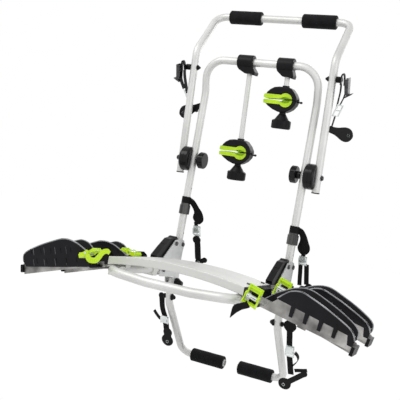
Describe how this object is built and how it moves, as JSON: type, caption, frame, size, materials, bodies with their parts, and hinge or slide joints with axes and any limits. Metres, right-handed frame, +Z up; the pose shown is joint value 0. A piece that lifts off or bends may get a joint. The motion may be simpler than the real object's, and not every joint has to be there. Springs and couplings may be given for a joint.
{
  "type": "tailgate platform bicycle carrier",
  "caption": "Strap-on platform bicycle carrier with folding arches, a crowned deck, drooping wheel trays with wings, claw holders and lime ratchet buckles.",
  "frame": {"origin": "midpoint between the two lower foam pads' centres, on their common axis", "axes": "+Z up along the upright's legs, +Y towards the car, +X to the right seen from behind the car"},
  "size_m": [1.1592, 0.7731, 1.405],
  "materials": {
    "silver": "satin anodised tube",
    "deck": "satin extrusion",
    "tray": "satin folded sheet",
    "bracket": "satin plate",
    "steel": "bright zinc",
    "plastic": "matte, fine grain",
    "foam": "closed-cell foam",
    "webbing": "woven strap",
    "lime_paint": "bright lime paint",
    "lime_rubber": "lime soft rubber"
  },
  "bodies": {
    "platform": {"deck_beam": "deck", "platform_tube": "silver", "platform_end_caps": "plastic", "platform_fittings": "deck", "platform_bolts": "steel", "hinge_bracket_left": "bracket", "hinge_bracket_right": "bracket", "wheel_straps": "webbing", "buckle_frames": "lime_paint", "buckle_spools": "steel", "tray_near_left": "tray", "cradle_near_left": "plastic", "tray_near_right": "tray", "cradle_near_right": "plastic", "tray_far_left": "tray", "cradle_far_left": "plastic", "tray_far_right": "tray", "cradle_far_right": "plastic"},
    "buckle_lever_near_left": {"buckle_lever_near_left": "lime_paint"},
    "buckle_lever_near_right": {"buckle_lever_near_right": "lime_paint"},
    "buckle_lever_far_left": {"buckle_lever_far_left": "lime_paint"},
    "buckle_lever_far_right": {"buckle_lever_far_right": "lime_paint"},
    "main_frame": {"inner_arch": "silver", "ratchet_bolts": "steel", "ratchet_inner_discs": "plastic"},
    "outer_frame": {"outer_arch": "silver", "outer_arch_fittings": "plastic", "top_pads": "foam", "upper_straps": "webbing", "upper_buckles": "steel"},
    "fold_lever_left": {"fold_lever_left": "plastic"},
    "joint_knob_left": {"joint_knob_left": "plastic"},
    "collar_left": {"collar_left": "plastic", "mid_strap_left": "webbing"},
    "lower_arm_left": {"lower_arm_left": "silver", "lower_pad_left": "foam", "lower_strap_left": "webbing"},
    "lower_knob_left": {"lower_knob_left": "plastic"},
    "holder_left": {"holder_clamp_left": "plastic", "holder_arm_left": "silver", "claw_upper_left": "plastic", "claw_liner_upper_left": "lime_rubber"},
    "jaw_left": {"claw_lower_left": "plastic", "claw_liner_lower_left": "lime_rubber"},
    "star_knob_left": {"star_knob_left": "plastic"},
    "fold_lever_right": {"fold_lever_right": "plastic"},
    "joint_knob_right": {"joint_knob_right": "plastic"},
    "collar_right": {"collar_right": "plastic", "mid_strap_right": "webbing"},
    "lower_arm_right": {"lower_arm_right": "silver", "lower_pad_right": "foam", "lower_strap_right": "webbing"},
    "lower_knob_right": {"lower_knob_right": "plastic"},
    "holder_right": {"holder_clamp_right": "plastic", "holder_arm_right": "silver", "claw_upper_right": "plastic", "claw_liner_upper_right": "lime_rubber"},
    "jaw_right": {"claw_lower_right": "plastic", "claw_liner_lower_right": "lime_rubber"},
    "star_knob_right": {"star_knob_right": "plastic"}
  },
  "joints": [
    {"name": "frame_lean", "type": "hinge", "parent": "platform", "child": "main_frame", "pos_m": [0, -0.217, 0.442], "axis": [1, 0, 0], "range_deg": [-50, 0]},
    {"name": "arch_angle", "type": "hinge", "parent": "main_frame", "child": "outer_frame", "pos_m": [0, -0.217, 0.769], "axis": [1, 0, 0], "range_deg": [-75, 25]},
    {"name": "lever_left", "type": "hinge", "parent": "platform", "child": "fold_lever_left", "pos_m": [-0.22, -0.273, 0.444], "axis": [1, 0, 0], "range_deg": [-70, 0]},
    {"name": "joint_knob_turn_left", "type": "hinge", "parent": "main_frame", "child": "joint_knob_left", "pos_m": [-0.183, -0.217, 0.769], "axis": [1, 0, 0], "continuous": true},
    {"name": "collar_slide_left", "type": "slide", "parent": "main_frame", "child": "collar_left", "axis": [0, 0, 1], "range_m": [-0.05, 0.075]},
    {"name": "arm_swing_left", "type": "hinge", "parent": "platform", "child": "lower_arm_left", "pos_m": [-0.22, -0.217, 0.294], "axis": [1, 0, 0], "range_deg": [-60, 30]},
    {"name": "lower_knob_turn_left", "type": "hinge", "parent": "platform", "child": "lower_knob_left", "pos_m": [-0.188, -0.217, 0.294], "axis": [1, 0, 0], "continuous": true},
    {"name": "holder_swing_left", "type": "hinge", "parent": "main_frame", "child": "holder_left", "pos_m": [-0.04, -0.258, 1.148], "axis": [1, 0, 0], "range_deg": [-60, 60]},
    {"name": "jaw_slide_left", "type": "slide", "parent": "holder_left", "child": "jaw_left", "axis": [0, 0.1253, -0.9921], "range_m": [0, 0.016]},
    {"name": "star_knob_turn_left", "type": "hinge", "parent": "jaw_left", "child": "star_knob_left", "pos_m": [-0.04, -0.20724, 0.74619], "axis": [0, 0.1253, -0.9921], "range_deg": [0, 2880]},
    {"name": "lever_right", "type": "hinge", "parent": "platform", "child": "fold_lever_right", "pos_m": [0.22, -0.273, 0.444], "axis": [1, 0, 0], "range_deg": [-70, 0]},
    {"name": "joint_knob_turn_right", "type": "hinge", "parent": "main_frame", "child": "joint_knob_right", "pos_m": [0.183, -0.217, 0.769], "axis": [1, 0, 0], "continuous": true},
    {"name": "collar_slide_right", "type": "slide", "parent": "main_frame", "child": "collar_right", "axis": [0, 0, 1], "range_m": [-0.025, 0.11]},
    {"name": "arm_swing_right", "type": "hinge", "parent": "platform", "child": "lower_arm_right", "pos_m": [0.22, -0.217, 0.294], "axis": [1, 0, 0], "range_deg": [-60, 30]},
    {"name": "lower_knob_turn_right", "type": "hinge", "parent": "platform", "child": "lower_knob_right", "pos_m": [0.188, -0.217, 0.294], "axis": [1, 0, 0], "continuous": true},
    {"name": "holder_swing_right", "type": "hinge", "parent": "main_frame", "child": "holder_right", "pos_m": [0.106, -0.258, 1.148], "axis": [1, 0, 0], "range_deg": [-60, 60]},
    {"name": "jaw_slide_right", "type": "slide", "parent": "holder_right", "child": "jaw_right", "axis": [0, 0.1253, -0.9921], "range_m": [0, 0.016]},
    {"name": "star_knob_turn_right", "type": "hinge", "parent": "jaw_right", "child": "star_knob_right", "pos_m": [0.106, -0.23318, 0.95156], "axis": [0, 0.1253, -0.9921], "range_deg": [0, 2880]},
    {"name": "buckle_open_near_right", "type": "hinge", "parent": "platform", "child": "buckle_lever_near_right", "pos_m": [0.27683, -0.7065, 0.36617], "axis": [0.9563, 0, -0.2924], "range_deg": [0, 60]},
    {"name": "buckle_open_far_right", "type": "hinge", "parent": "platform", "child": "buckle_lever_far_right", "pos_m": [0.28683, -0.4595, 0.38117], "axis": [0.9563, 0, -0.2924], "range_deg": [0, 60]},
    {"name": "buckle_open_near_left", "type": "hinge", "parent": "platform", "child": "buckle_lever_near_left", "pos_m": [-0.27846, -0.7226, 0.3872], "axis": [0, -1, 0], "range_deg": [0, 60]},
    {"name": "buckle_open_far_left", "type": "hinge", "parent": "platform", "child": "buckle_lever_far_left", "pos_m": [-0.26702, -0.4756, 0.39521], "axis": [0, 1, 0], "range_deg": [0, 60]}
  ],
  "couplings": [
    {"joint": "jaw_slide_left", "follows": "star_knob_turn_left", "m_per_rad": 0.00031831},
    {"joint": "jaw_slide_right", "follows": "star_knob_turn_right", "m_per_rad": 0.00031831}
  ]
}
